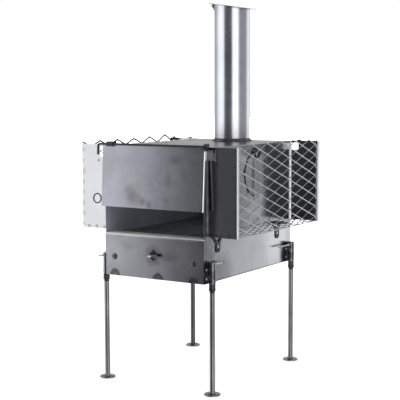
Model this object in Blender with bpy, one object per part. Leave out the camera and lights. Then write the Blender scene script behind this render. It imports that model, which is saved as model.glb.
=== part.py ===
"""Box-bodied rocket stove with side baskets, a lift-up front door, an ash drawer,
a flue pipe with a hinged rain cap, and four clamped legs.

Dimensions below are in millimetres; meshes are written in metres, +Z up,
front of the stove towards -Y, origin on the floor under the bounding box's centre.
"""
import math

import bmesh
import bpy
import numpy as np

for old in list(bpy.data.objects):
    bpy.data.objects.remove(old)

# ---------------------------------------------------------------- main sizes
Y_SHIFT = 11.0           # brings the middle of the overall depth to y = 0
HALF_W = 185.0           # outside of the side panels
SHEET = 3.0              # body sheet
GAP = 0.3                # clearance between pieces that touch
Z_BOTTOM = 341.0         # underside of the body
Z_LEDGE = 476.0          # top of the lower front
Z_DOOR = 560.0           # lower edge of the door
Z_TOP = 750.0            # top of the cooking plate
Y_FRONT = -274.5         # front edges of the side panels
Y_BACK = 277.5           # rear face

LEG_X, LEG_Y = 199.0, 254.5
LEG_R = 8.0
SOCKET_R, SOCKET_BORE = 10.65, 8.5
SOCKET_Z0, SOCKET_Z1 = 342.0, 408.0
SCREW_Z, SCREW_R = 400.0, 2.5

ROD_Y, ROD_Z, ROD_R = -284.0, 755.0, 3.5
DOOR_HALF_W = 190.0
DOOR_FACE = -280.0       # before the door is swung out by DOOR_LEAN about the rod
DOOR_LEAN = math.radians(3.5)

PIPE_Y, PIPE_R, PIPE_WALL = 198.0, 60.0, 1.5
PIPE_TOP, PIPE_SLOPE = 1202.0, -0.157     # top rim plane z = PIPE_TOP + PIPE_SLOPE * x
CAP_R, CAP_T = 80.0, 2.0
CAP_PIN_X, CAP_PIN_Z = -71.0, 1207.5

BASKET_IN, BASKET_OUT = 194.0, 290.0
BASKET_Z0, BASKET_Z1 = 483.0, 752.0
BASKET_FRONT, BASKET_REAR = -260.0, 271.0  # outer face of front plate, inner face of rear plate
MESH_PITCH_Y, MESH_PITCH_Z, STRAND = 47.0, 17.15, 3.5
MESH_T = 2.6

LATCH_Z = 415.0
GRATE_Z0, GRATE_Z1 = 464.0, 470.0
PORT_Y, PORT_Z, PORT_R = 32.0, 654.0, 68.0  # round cover on the right wall


# ---------------------------------------------------------------- materials
def material(name, colour, rough, metal):
    mat = bpy.data.materials.new(name)
    mat.use_nodes = True
    node = mat.node_tree.nodes["Principled BSDF"]
    node.inputs["Base Color"].default_value = (*colour, 1.0)
    node.inputs["Roughness"].default_value = rough
    node.inputs["Metallic"].default_value = metal
    return mat


PALETTE = {
    "body_steel": ((0.36, 0.37, 0.40), 0.38, 1.0),
    "top_steel": ((0.42, 0.42, 0.42), 0.25, 1.0),
    "door_steel": ((0.34, 0.35, 0.38), 0.36, 1.0),
    "front_steel": ((0.35, 0.35, 0.37), 0.38, 1.0),
    "basket_steel": ((0.45, 0.45, 0.48), 0.40, 1.0),
    "mesh_steel": ((0.40, 0.40, 0.42), 0.45, 1.0),
    "pipe_steel": ((0.50, 0.50, 0.53), 0.16, 1.0),
    "leg_steel": ((0.12, 0.12, 0.12), 0.45, 1.0),
    "black_steel": ((0.02, 0.02, 0.022), 0.55, 1.0),
    "grate_iron": ((0.08, 0.08, 0.085), 0.65, 1.0),
    "bright_fixings": ((0.62, 0.62, 0.62), 0.22, 1.0),
}


# ---------------------------------------------------------------- mesh makers (mm)
def put(pts):
    pts = np.array(pts, float)
    pts[:, 1] += Y_SHIFT
    return pts * 0.001


def mesh_object(name, verts, faces, slot=None, origin=None, smooth=0):
    """A mesh object; origin (mm) becomes the object's own origin."""
    pts = put(verts)
    at = np.zeros(3) if origin is None else put([origin])[0]
    mesh = bpy.data.meshes.new(name)
    mesh.from_pydata([tuple(p) for p in pts - at], [], [tuple(f) for f in faces])
    work = bmesh.new()
    work.from_mesh(mesh)
    bmesh.ops.remove_doubles(work, verts=work.verts, dist=1e-6)
    bmesh.ops.recalc_face_normals(work, faces=work.faces)
    work.to_mesh(mesh)
    work.free()
    if smooth:
        mesh.shade_smooth()
        mesh.set_sharp_from_angle(angle=math.radians(smooth))
    obj = bpy.data.objects.new(name, mesh)
    obj.location = at
    bpy.context.scene.collection.objects.link(obj)
    if slot:
        obj.data.materials.append(material(name, *PALETTE[slot]))
    return obj


def box(x0, x1, y0, y1, z0, z1):
    v = [(x, y, z) for z in (z0, z1) for y in (y0, y1) for x in (x0, x1)]
    f = [(0, 2, 3, 1), (4, 5, 7, 6), (0, 1, 5, 4), (2, 6, 7, 3), (0, 4, 6, 2), (1, 3, 7, 5)]
    return v, f


def prism(outline, axis, lo, hi):
    """Extrudes a closed 2-D outline along x, y or z. Outline axes: x->(y,z), y->(x,z), z->(x,y)."""
    def at(p, w):
        return {"x": (w, p[0], p[1]), "y": (p[0], w, p[1]), "z": (p[0], p[1], w)}[axis]
    n = len(outline)
    v = [at(p, lo) for p in outline] + [at(p, hi) for p in outline]
    f = [tuple(range(n))[::-1], tuple(range(n, 2 * n))]
    f += [(i, (i + 1) % n, n + (i + 1) % n, n + i) for i in range(n)]
    return v, f


def rings(loops, closed=False):
    """Skins equal-length loops of points; ends are capped unless the stack closes on itself."""
    n = len(loops[0])
    v = [tuple(p) for loop in loops for p in loop]
    f = []
    m = len(loops)
    for k in range(m if closed else m - 1):
        a, b = k * n, ((k + 1) % m) * n
        f += [(a + i, a + (i + 1) % n, b + (i + 1) % n, b + i) for i in range(n)]
    if not closed:
        f += [tuple(range(n))[::-1], tuple(range((m - 1) * n, m * n))]
    return v, f


def circle(centre, u, w, r, n):
    c, u, w = (np.array(q, float) for q in (centre, u, w))
    return [tuple(c + r * (math.cos(t) * u + math.sin(t) * w))
            for t in (2 * math.pi * (i + 0.5) / n for i in range(n))]


FRAMES = {"x": ((0, 1, 0), (0, 0, 1)), "y": ((0, 0, 1), (1, 0, 0)), "z": ((1, 0, 0), (0, 1, 0))}
DIRS = {"x": np.array((1.0, 0, 0)), "y": np.array((0, 1.0, 0)), "z": np.array((0, 0, 1.0))}


def turned(centre, axis, profile, n=32, closed=False):
    """Round solid along an axis: profile is [(distance along the axis, radius), ...]."""
    c = np.array(centre, float)
    loops = [circle(c + DIRS[axis] * s, *FRAMES[axis], r, n) for s, r in profile]
    return rings(loops, closed)


def tube(centre, axis, lo, hi, r_in, r_out, n=32):
    return turned(centre, axis, [(lo, r_out), (hi, r_out), (hi, r_in), (lo, r_in)], n, closed=True)


def rod(centre, axis, lo, hi, r, n=24):
    return turned(centre, axis, [(lo, r), (hi, r)], n)


def sweep(path, r, n=12):
    """Round wire along a planar polyline, with mitred corners."""
    path = [np.array(p, float) for p in path]
    dirs = [(b - a) / np.linalg.norm(b - a) for a, b in zip(path, path[1:])]
    normal = np.zeros(3)
    for a, b in zip(dirs, dirs[1:]):
        normal = normal + np.cross(a, b)
    normal /= np.linalg.norm(normal)
    loops = []
    for i, p in enumerate(path):
        d0 = dirs[max(i - 1, 0)]
        d1 = dirs[min(i, len(dirs) - 1)]
        mid = (d0 + d1) / np.linalg.norm(d0 + d1)
        side = np.cross(normal, mid)
        side = side / max(abs(side.dot(np.cross(normal, d0))), 0.2)
        loops.append(circle(p, side, normal, r, n))
    return rings(loops)


def torus(centre, axis, big, small, n=32, m=10):
    u, w = (np.array(q, float) for q in FRAMES[axis])
    a = DIRS[axis]
    loops = []
    for i in range(n):
        t = 2 * math.pi * i / n
        radial = math.cos(t) * u + math.sin(t) * w
        loops.append(circle(np.array(centre, float) + big * radial, radial, a, small, m))
    return rings(loops, closed=True)


def lattice(us, vs, centre_odd, holder, t0, t1, inset, flat_top=False):
    """Expanded-metal sheet: whole diamonds inside, half diamonds at the straight edges.

    us, vs are the coordinates of the half-pitch lines; holder(u, v, t) gives the 3-D point.
    With flat_top False the last row is whole, which leaves the free zigzag edge.
    """
    cells = []
    last_u, last_v = len(us) - 1, len(vs) - 1
    for j in range(0, last_v + (1 if flat_top else 0)):
        for k in range(last_u + 1):
            if (k + j) % 2 != centre_odd:
                continue
            ring = [(k - 1, j), (k, j - 1), (k + 1, j), (k, j + 1)]
            if k == 0:
                ring = [(k, j - 1), (k + 1, j), (k, j + 1)]
            if k == last_u:
                ring = [(k - 1, j), (k, j - 1), (k, j + 1)]
            if j == 0:
                ring = [q for q in ring if q[1] >= 0]
                if k == 0:
                    ring = [(0, 0), (1, 0), (0, 1)]
                elif k == last_u:
                    ring = [(k - 1, 0), (k, 0), (k, 1)]
            if j == last_v:
                ring = [q for q in ring if q[1] <= last_v]
                if k == 0:
                    ring = [(0, j - 1), (1, j), (0, j)]
                elif k == last_u:
                    ring = [(k - 1, j), (k, j - 1), (k, j)]
            cells.append(ring)
    verts, faces, index, edges = [], [], {}, {}

    def point(u, v, t):
        verts.append(holder(u, v, t))
        return len(verts) - 1

    def corner(q):
        if q not in index:
            u, v = us[q[0]], vs[q[1]]
            index[q] = (point(u, v, t0), point(u, v, t1))
        return index[q]

    for ring in cells:
        flat = [np.array((us[a], vs[b]), float) for a, b in ring]
        n = len(ring)
        inner = []
        for i in range(n):
            p, q, r = flat[i - 1], flat[i], flat[(i + 1) % n]
            d0, d1 = (q - p) / np.linalg.norm(q - p), (r - q) / np.linalg.norm(r - q)
            n0, n1 = np.array((-d0[1], d0[0])), np.array((-d1[1], d1[0]))
            s = q + inset * (n0 + n1) / (1 + n0.dot(n1))
            inner.append((point(s[0], s[1], t0), point(s[0], s[1], t1)))
        for i in range(n):
            a, b = corner(ring[i]), corner(ring[(i + 1) % n])
            c, d = inner[i], inner[(i + 1) % n]
            faces += [(a[0], c[0], d[0], b[0]), (a[1], b[1], d[1], c[1]), (c[0], c[1], d[1], d[0])]
            key = tuple(sorted((a[0], b[0])))
            edges.setdefault(key, []).append((a, b))
    for used in edges.values():
        if len(used) == 1:
            a, b = used[0]
            faces.append((a[0], b[0], b[1], a[1]))
    return verts, faces


def solid(name, slot, base, add=(), cut=(), origin=None, smooth=0):
    """One node: the base shape, with hidden helpers joined to it or cut from it."""
    obj = mesh_object(name, *base, slot=slot, origin=origin, smooth=smooth)
    for kind, shapes in (("UNION", add), ("DIFFERENCE", cut)):
        for i, shape in enumerate(shapes):
            helper = mesh_object(f"zz_{name}_{kind[:3].lower()}_{i}", *shape)
            helper.hide_render = True
            helper.display_type = "WIRE"
            mod = obj.modifiers.new(f"{kind[:3].lower()}_{i}", "BOOLEAN")
            mod.operation = kind
            mod.solver = "EXACT"
            mod.object = helper
    return obj


def mirror_x(shape, side):
    """The same shape on the other side for side = -1."""
    v, f = shape
    return ([(side * x, y, z) for x, y, z in v], f) if side < 0 else shape


# ---------------------------------------------------------------- body shell
for side, word in ((-1, "left"), (1, "right")):
    solid(f"side_panel_{word}", "body_steel",
          mirror_x(box(HALF_W - SHEET, HALF_W, Y_FRONT, Y_BACK, Z_BOTTOM, Z_TOP - 4 - GAP), side))
solid("rear_panel", "body_steel",
      box(-HALF_W + SHEET + GAP, HALF_W - SHEET - GAP, Y_BACK - SHEET, Y_BACK, Z_BOTTOM, Z_TOP - 4 - GAP))
solid("bottom_plate", "body_steel",
      box(-HALF_W + SHEET + GAP, HALF_W - SHEET - GAP, Y_FRONT, Y_BACK - SHEET - GAP, Z_BOTTOM, Z_BOTTOM + SHEET))
solid("top_plate", "top_steel",
      box(-HALF_W - 1, HALF_W + 1, -275.4, 277.8, Z_TOP - 4, Z_TOP),
      cut=[rod((0, PIPE_Y, 0), "z", Z_TOP - 10, Z_TOP + 10, 55.0, 48)])
solid("flue_collar", "black_steel",
      turned((0, PIPE_Y, 0), "z",
             [(Z_TOP + GAP, 65.5), (Z_TOP + 8, 65.5), (Z_TOP + 8, 58.1), (Z_TOP + 40, 58.1),
              (Z_TOP + 40, 55.0), (Z_TOP + GAP, 55.0)], 48, closed=True), smooth=40)
for side, word in ((-1, "left"), (1, "right")):
    solid(f"grate_rail_{word}", "body_steel",
          mirror_x(prism([(HALF_W - SHEET - GAP, 448), (HALF_W - SHEET - GAP, GRATE_Z0 - GAP),
                          (160, GRATE_Z0 - GAP), (160, GRATE_Z0 - GAP - 3),
                          (HALF_W - SHEET - GAP - 3, GRATE_Z0 - GAP - 3), (HALF_W - SHEET - GAP - 3, 448)],
                         "y", -224, 270), side))
solid("fire_grate", "grate_iron",
      box(-180, 180, -225, 270, GRATE_Z0, GRATE_Z1),
      cut=[box(x - 10, x + 10, -190, 240, GRATE_Z0 - 5, GRATE_Z1 + 5) for x in range(-125, 126, 50)])

# ---------------------------------------------------------------- leg sockets, clamp screws, legs
SCREWS = {(1, -1): (1, 62.0), (1, 1): (-1, 84.0), (-1, -1): (-1, 36.0), (-1, 1): (1, 35.5)}
for sx, xw in ((-1, "left"), (1, "right")):
    for sy, yw in ((-1, "front"), (1, "rear")):
        tag = f"{yw}_{xw}"
        cx, cy = sx * LEG_X, sy * LEG_Y
        away, reach = SCREWS[(sx, sy)]
        plate = mirror_x(box(HALF_W + GAP, HALF_W + 4.2, cy - (28.5 if sy < 0 else 21.5), cy + 8.5, SOCKET_Z0, SOCKET_Z1), sx)
        web = mirror_x(box(HALF_W + GAP, HALF_W + 9, cy - 5, cy + 5, SOCKET_Z0 + 4, SOCKET_Z1 - 4), sx)
        boss = rod((cx, cy, SCREW_Z), "y", *sorted((away * 9.6, away * 17.0)), 5.6, 6)
        drill = rod((cx, cy, 0), "z", SOCKET_Z0 - 5, SOCKET_Z1 + 5, SOCKET_BORE, 24)
        tap = rod((cx, cy, SCREW_Z), "y", *sorted((away * 2.0, away * 24.0)), SCREW_R + 0.2, 12)
        holes = [rod((sx * 187, cy - 13.0, z), "x", -8, 8, 3.5, 12) for z in (385, 357)]
        solid(f"leg_socket_{tag}", "black_steel",
              rod((cx, cy, 0), "z", SOCKET_Z0, SOCKET_Z1, SOCKET_R, 24),
              add=[plate, web, boss], cut=[drill, tap] + holes, smooth=40)
        ends = sorted((away * (LEG_R + GAP), away * reach))
        solid(f"clamp_screw_{tag}", "bright_fixings",
              rod((cx, cy, SCREW_Z), "y", *ends, SCREW_R, 12),
              add=[rod((cx, cy + away * (reach - 4), SCREW_Z), "x", -10, 10, 1.8, 10)],
              origin=(cx, cy, SCREW_Z), smooth=40)
        solid(f"leg_{tag}", "leg_steel",
              turned((cx, cy, 0), "z",
                     [(4 + GAP, 11), (10, 11), (12, LEG_R), (320, LEG_R), (320, 10), (SOCKET_Z0 - GAP, 10),
                      (SOCKET_Z0 - GAP, LEG_R), (404, LEG_R)], 20), origin=(cx, cy, SOCKET_Z0), smooth=35)
        solid(f"foot_{tag}", "black_steel",
              turned((cx, cy, 0), "z", [(0, 25), (3, 25), (4, 24)], 32), origin=(cx, cy, 0), smooth=35)

# ---------------------------------------------------------------- basket hooks and lugs on the walls
for side, word in ((-1, "left"), (1, "right")):
    for y, z0, yw in ((-201.0, 429.0, "front"), (178.0, 428.0, "rear")):
        outline = [(y + 32, 482.2), (y + 32, 478), (y + 11, 460), (y + 11, z0 + 9), (y + 8, z0 + 3), (y, z0),
                   (y - 8, z0 + 3), (y - 11, z0 + 9), (y - 11, 460), (y - 32, 478), (y - 32, 482.2)]
        solid(f"basket_hook_{yw}_{word}", "black_steel",
              mirror_x(prism(outline[::-1], "x", HALF_W + GAP, HALF_W + 3.5), side),
              add=[mirror_x(box(HALF_W + 0.5, HALF_W + 32, y - 27.5, y + 27.5, 479.2, 482.0), side)],
              cut=[mirror_x(prism([(y, 461), (y + 18, 476.5), (y - 18, 476.5)], "x", HALF_W - 2, HALF_W + 8), side),
                   mirror_x(prism([(y + 4.6 * math.sin(t), z0 + 15.5 - 9.5 * math.cos(t)) for t in np.radians(range(0, 360, 30))], "x",
                                  HALF_W - 2, HALF_W + 8), side)])
    for y0, y1, z0, hole, yw in ((-266.0, -215.0, 713.0, (-226.0, 737.0), "front"),
                                 (205.0, 277.0, 722.0, (231.0, 736.0), "rear")):
        solid(f"basket_lug_{yw}_{word}", "body_steel",
              mirror_x(prism([(y0, z0), (y1, z0), (y1, 738), (y1 - 8, 745.4), (y0 + 4, 745.4), (y0, 741)],
                             "x", HALF_W + GAP, HALF_W + 3.3), side),
              cut=[rod((side * (HALF_W + 2), hole[0], hole[1]), "x", -6, 6, 3.6, 14)])

# ---------------------------------------------------------------- round port cover and its ring, right side
solid("port_cover", "body_steel",
      turned((0, PORT_Y, PORT_Z), "x", [(HALF_W + GAP, PORT_R), (HALF_W + 2.6, PORT_R), (HALF_W + 3.3, PORT_R - 0.7)], 48),
      smooth=35)
solid("port_ring", "black_steel",
      torus((HALF_W + 5.3, PORT_Y + 5, PORT_Z + 67), "x", 14.6, 1.7, 24, 8), smooth=50)

# ---------------------------------------------------------------- door, its rod and brackets
def leaned(shape):
    """The door hangs slightly open: everything on it is swung out about the rod."""
    verts, faces = shape
    c, s = math.cos(DOOR_LEAN), math.sin(DOOR_LEAN)
    return [(x, ROD_Y + (y - ROD_Y) * c + (z - ROD_Z) * s, ROD_Z - (y - ROD_Y) * s + (z - ROD_Z) * c) for x, y, z in verts], faces


door = solid("door_panel", "door_steel",
             leaned(box(-DOOR_HALF_W, DOOR_HALF_W, DOOR_FACE, DOOR_FACE + SHEET, Z_DOOR, Z_TOP + 4)),
             add=[leaned(mirror_x(box(DOOR_HALF_W - 2.6, DOOR_HALF_W, DOOR_FACE + 1, -268, Z_DOOR, 743), s)) for s in (-1, 1)],
             cut=[leaned(box(-173.0, -141.5, DOOR_FACE - 5, DOOR_FACE + 8, 747.5, 760))],
             origin=(0, ROD_Y, ROD_Z))
bend = [(-196 + 7 * math.sin(t), ROD_Y, ROD_Z - 7 + 7 * math.cos(t)) for t in np.radians([0, -30, -60, -90])]
solid("door_rod", "black_steel",
      leaned(sweep([(198, ROD_Y, ROD_Z)] + bend + [(-203, ROD_Y, 721)], ROD_R, 12)),
      origin=(0, ROD_Y, ROD_Z), smooth=50)
around = [(ROD_Y + 5.8 * math.cos(t), ROD_Z + 5.8 * math.sin(t)) for t in np.radians(np.linspace(-50, -245, 10))]
solid("door_bracket_left", "black_steel",
      prism([(-266, 750.3), (-280.3, 750.3)] + around + [(-284.5, 763), (-266, 763)], "x", -170, -145),
      cut=[rod((-157, ROD_Y, ROD_Z), "x", -30, 30, ROD_R + 0.2, 20)])
solid("door_bracket_right", "black_steel",
      prism([(-263, 744), (-267, 741), (-281, 741), (-291, 749), (-291, 760), (-287, 763), (-263, 763)], "x", 190.8, 195.3),
      add=[box(HALF_W + 1 + GAP, 192, -275, -264, 746.2, 750)],
      cut=[rod((193, ROD_Y, ROD_Z), "x", -12, 12, ROD_R + 0.2, 20)])
solid("door_ring", "black_steel",
      leaned(torus((-208, -275.5, 583), "y", 14.6, 1.7, 24, 8)),
      add=[leaned(box(-193.5, -190.3, -277, -274, 580, 586))],
      origin=(0, ROD_Y, ROD_Z), smooth=50)

# ---------------------------------------------------------------- ash drawer and its latch
solid("drawer_front", "front_steel",
      box(-HALF_W, HALF_W, Y_FRONT - SHEET - GAP, Y_FRONT - GAP, Z_BOTTOM, Z_LEDGE),
      add=[box(-181.5, 181.5, Y_FRONT - SHEET, -229, Z_LEDGE - SHEET, Z_LEDGE - 0.01)],
      cut=[rod((0, Y_FRONT, LATCH_Z), "y", -10, 10, 3.6, 12)])
tx, ty0, ty1, tz0, tz1, tw = 172.0, -274.4, 255.0, 344.4, 410.0, 2.0
solid("drawer_tray", "body_steel", box(-tx, tx, ty0, ty1, tz0, tz1),
      cut=[box(-tx + tw, tx - tw, ty0 + tw, ty1 - tw, tz0 + tw, tz1 + 10)])
for side, word in ((-1, "left"), (1, "right")):
    solid(f"drawer_rivet_{word}", "bright_fixings",
          turned((side * 148, 0, 401), "y", [(-281.0, 4.5), (-279.9, 8.0), (-278.1, 9.5)], 24), smooth=60)
plate_y = Y_FRONT - SHEET - 2 * GAP
solid("latch_plate", "black_steel",
      prism([(-17.5, LATCH_Z), (0, LATCH_Z - 17.5), (17.5, LATCH_Z), (0, LATCH_Z + 17.5)], "y", plate_y - 3, plate_y),
      cut=[rod((0, plate_y, LATCH_Z), "y", -10, 10, 3.6, 12)])
solid("latch_stud", "bright_fixings",
      turned((0, 0, LATCH_Z), "y", [(-312.0, 2.2), (-311.0, 3.0), (-277.0, 3.0)], 16), smooth=40)
wing = [(4.5, -4), (11, -4.5), (19, -4), (24, -1.5), (25, 1.5), (23, 4.5), (11, 4.5), (4.5, 4)]
nut_y = plate_y - 3 - GAP
solid("wing_nut", "bright_fixings",
      turned((0, 0, LATCH_Z), "y", [(nut_y - 12, 5.0), (nut_y, 7.0)], 20),
      add=[prism([(s * x, LATCH_Z + z) for x, z in (wing if s > 0 else wing[::-1])], "y", nut_y - 9, nut_y - 6)
           for s in (-1, 1)],
      cut=[rod((0, nut_y - 6, LATCH_Z), "y", -14, 14, 3.2, 16)],
      origin=(0, nut_y, LATCH_Z))

# ---------------------------------------------------------------- side baskets
ys = [-257.6, -214.0] + [-167.0 + MESH_PITCH_Y * i for i in range(10)] + [270.6]
zs = [758.0 - MESH_PITCH_Z * (16 - j) for j in range(17)]
xs = [BASKET_IN + 0.4 + 18.0 * i for i in range(6)]
for side, word in ((-1, "left"), (1, "right")):
    # Each end plate reaches in to the wall; a window behind the top bar leaves room for the lug.
    inner = HALF_W + 3.8
    front, rear = ([(inner, BASKET_Z0), (BASKET_OUT, BASKET_Z0), (BASKET_OUT, BASKET_Z1), (inner, BASKET_Z1),
                    (inner, 744), (216, 744), (216, low), (inner, low)] for low in (712, 720))
    solid(f"basket_plate_front_{word}", "basket_steel",
          mirror_x(prism(front, "y", BASKET_FRONT, BASKET_FRONT + 2), side),
          add=[mirror_x(box(BASKET_OUT - 2, BASKET_OUT - 0.01, BASKET_FRONT + 0.5, -250, BASKET_Z0, BASKET_Z1), side)])
    solid(f"basket_plate_rear_{word}", "basket_steel",
          mirror_x(prism(rear, "y", BASKET_REAR, BASKET_REAR + 2), side),
          add=[mirror_x(box(BASKET_OUT - 2, BASKET_OUT - 0.01, BASKET_REAR + 0.5, 290, BASKET_Z0, BASKET_Z1), side)])
    solid(f"basket_clip_{word}", "black_steel",
          mirror_x(box(BASKET_OUT - 10.5, BASKET_OUT - 5.3, 241, BASKET_REAR - GAP, 743.5, 753.5), side))
    outer = BASKET_OUT - 2 - GAP
    solid(f"basket_mesh_{word}", "mesh_steel",
          lattice(ys, zs, 1, lambda u, v, t, s=side: (s * t, u, v), outer - MESH_T, outer, STRAND / 2))
    solid(f"basket_floor_{word}", "mesh_steel",
          lattice(ys, xs, 1, lambda u, v, t, s=side: (s * v, u, t), BASKET_Z0 + 0.2, BASKET_Z0 + 2.2, STRAND / 2, flat_top=True))

# ---------------------------------------------------------------- chimney and rain cap
N = 48
floor = Z_TOP + 8 + GAP


def rim(r, lift=0.0):
    return [(x, y, PIPE_TOP + PIPE_SLOPE * x + lift) for x, y, _ in circle((0, PIPE_Y, 0), *FRAMES["z"], r, N)]


solid("chimney_pipe", "pipe_steel",
      rings([circle((0, PIPE_Y, floor), *FRAMES["z"], PIPE_R, N), rim(PIPE_R),
             rim(PIPE_R - PIPE_WALL), circle((0, PIPE_Y, floor), *FRAMES["z"], PIPE_R - PIPE_WALL, N)], closed=True),
      smooth=40)
arc = [(CAP_PIN_X + 5 * math.cos(t), CAP_PIN_Z + 5 * math.sin(t)) for t in np.radians([90, 120, 150, 180, 210, 240, 270])]
ear = arc + [(-64, 1190), (-60.8, 1190), (-60.8, 1210.3)]
solid("cap_bracket", "black_steel",
      box(-63.8, -60.6, PIPE_Y - 11.5, PIPE_Y + 11.5, 1176, 1206),
      add=[prism(ear, "y", PIPE_Y + a, PIPE_Y + b) for a, b in ((-11, -8), (8, 11))]
      + [rod((CAP_PIN_X, PIPE_Y, CAP_PIN_Z), "y", -10, 10, 2.4, 16)], smooth=40)
tilt = math.atan(-PIPE_SLOPE)
nrm = np.array((math.sin(tilt), 0, math.cos(tilt)))
along = np.array((math.cos(tilt), 0, -math.sin(tilt)))
disc_c = np.array((0, PIPE_Y, PIPE_TOP)) + nrm * GAP
disc = rings([circle(disc_c + nrm * s, along, (0, 1, 0), r, N)
              for s, r in ((0, CAP_R - 0.3), (0.6, CAP_R), (CAP_T - 0.6, CAP_R), (CAP_T, CAP_R - 0.3))])
web_top = PIPE_TOP - PIPE_SLOPE * -CAP_PIN_X
solid("rain_cap", "pipe_steel", disc,
      add=[tube((CAP_PIN_X, PIPE_Y, CAP_PIN_Z), "y", -7.5, 7.5, 2.5, 4.4, 20),
           box(CAP_PIN_X - 2.5, CAP_PIN_X + 2.5, PIPE_Y - 7.5, PIPE_Y + 7.5, CAP_PIN_Z + 3.4, PIPE_TOP + PIPE_SLOPE * CAP_PIN_X + 1.2)],
      origin=(CAP_PIN_X, PIPE_Y, CAP_PIN_Z), smooth=40)
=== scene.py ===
import math

import bmesh
import bpy
import numpy as np
from mathutils import Euler, Matrix, Vector


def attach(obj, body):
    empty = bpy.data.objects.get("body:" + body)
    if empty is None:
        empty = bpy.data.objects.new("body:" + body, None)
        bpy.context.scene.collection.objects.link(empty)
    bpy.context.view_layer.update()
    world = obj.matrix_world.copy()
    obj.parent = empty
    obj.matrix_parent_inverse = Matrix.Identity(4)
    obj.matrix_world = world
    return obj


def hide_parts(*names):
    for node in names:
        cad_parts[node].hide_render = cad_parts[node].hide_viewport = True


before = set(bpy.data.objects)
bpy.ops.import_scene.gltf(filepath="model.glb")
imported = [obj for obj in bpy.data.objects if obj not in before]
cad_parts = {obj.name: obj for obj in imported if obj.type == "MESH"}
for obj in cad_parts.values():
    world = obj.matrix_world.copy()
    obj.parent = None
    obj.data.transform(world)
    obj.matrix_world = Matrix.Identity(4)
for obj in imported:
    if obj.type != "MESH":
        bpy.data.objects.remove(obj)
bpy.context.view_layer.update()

# Lengths are in millimetres in the box-centred layout of the stove; put() turns them into the row frame.
Y_SHIFT = 11.0
HALF_W, SHEET, GAP = 185.0, 3.0, 0.3
Z_BOTTOM, Z_LEDGE, Z_DOOR, Z_TOP = 341.0, 476.0, 560.0, 750.0
Y_FRONT, Y_BACK = -274.5, 277.5
LEG_X, LEG_Y = 199.0, 254.5
ROD_Y, ROD_Z, ROD_R = -284.0, 755.0, 3.5
PIPE_Y, PIPE_R = 198.0, 60.0
PIPE_TOP, PIPE_SLOPE = 1202.0, -0.157


def put(pts):
    pts = np.array(pts, float)
    pts[:, 1] += Y_SHIFT
    return pts * 0.001


# ------------------------------------------------------------------ mesh makers
def box(x0, x1, y0, y1, z0, z1):
    v = [(x, y, z) for z in (z0, z1) for y in (y0, y1) for x in (x0, x1)]
    f = [(0, 2, 3, 1), (4, 5, 7, 6), (0, 1, 5, 4), (2, 6, 7, 3), (0, 4, 6, 2), (1, 3, 7, 5)]
    return v, f


def prism(outline, axis, lo, hi):
    def at(p, w):
        return {"x": (w, p[0], p[1]), "y": (p[0], w, p[1]), "z": (p[0], p[1], w)}[axis]
    n = len(outline)
    v = [at(p, lo) for p in outline] + [at(p, hi) for p in outline]
    f = [tuple(range(n))[::-1], tuple(range(n, 2 * n))]
    f += [(i, (i + 1) % n, n + (i + 1) % n, n + i) for i in range(n)]
    return v, f


def rings(loops, closed=False):
    n = len(loops[0])
    v = [tuple(p) for loop in loops for p in loop]
    f = []
    m = len(loops)
    for k in range(m if closed else m - 1):
        a, b = k * n, ((k + 1) % m) * n
        f += [(a + i, a + (i + 1) % n, b + (i + 1) % n, b + i) for i in range(n)]
    if not closed:
        f += [tuple(range(n))[::-1], tuple(range((m - 1) * n, m * n))]
    return v, f


def circle(centre, u, w, r, n):
    c, u, w = (np.array(q, float) for q in (centre, u, w))
    return [tuple(c + r * (math.cos(t) * u + math.sin(t) * w))
            for t in (2 * math.pi * (i + 0.5) / n for i in range(n))]


FRAMES = {"x": ((0, 1, 0), (0, 0, 1)), "y": ((0, 0, 1), (1, 0, 0)), "z": ((1, 0, 0), (0, 1, 0))}
DIRS = {"x": np.array((1.0, 0, 0)), "y": np.array((0, 1.0, 0)), "z": np.array((0, 0, 1.0))}


def turned(centre, axis, profile, n=48, closed=False):
    c = np.array(centre, float)
    return rings([circle(c + DIRS[axis] * s, *FRAMES[axis], r, n) for s, r in profile], closed)


def rod(centre, axis, lo, hi, r, n=32, edge=0.0):
    if edge:
        d = 1 if hi > lo else -1
        return turned(centre, axis, [(lo, r - edge), (lo + d * edge * 0.3, r - edge * 0.3), (lo + d * edge, r),
                                     (hi - d * edge, r), (hi - d * edge * 0.3, r - edge * 0.3), (hi, r - edge)], n)
    return turned(centre, axis, [(lo, r), (hi, r)], n)


def sweep(path, radii, n=16, flat=1.0, closed=False):
    """A wire along a path; radii may vary. flat is not used."""
    path = [np.array(p, float) for p in path]
    if np.isscalar(radii):
        radii = [radii] * len(path)
    m = len(path)
    loops = []
    normal = None
    for i, p in enumerate(path):
        if closed:
            d = path[(i + 1) % m] - path[i - 1]
        else:
            d = path[min(i + 1, m - 1)] - path[max(i - 1, 0)]
        d = d / np.linalg.norm(d)
        if normal is None:
            normal = np.cross(d, (0.31, 0.17, 0.93))
        normal = normal - d * normal.dot(d)
        normal /= np.linalg.norm(normal)
        loops.append(circle(p, normal, np.cross(d, normal), radii[i], n))
    return rings(loops, closed)


def torus(centre, axis, big, small, n=64, m=14):
    u, w = (np.array(q, float) for q in FRAMES[axis])
    a = DIRS[axis]
    loops = []
    for i in range(n):
        t = 2 * math.pi * i / n
        radial = math.cos(t) * u + math.sin(t) * w
        loops.append(circle(np.array(centre, float) + big * radial, radial, a, small, m))
    return rings(loops, closed=True)


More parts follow.
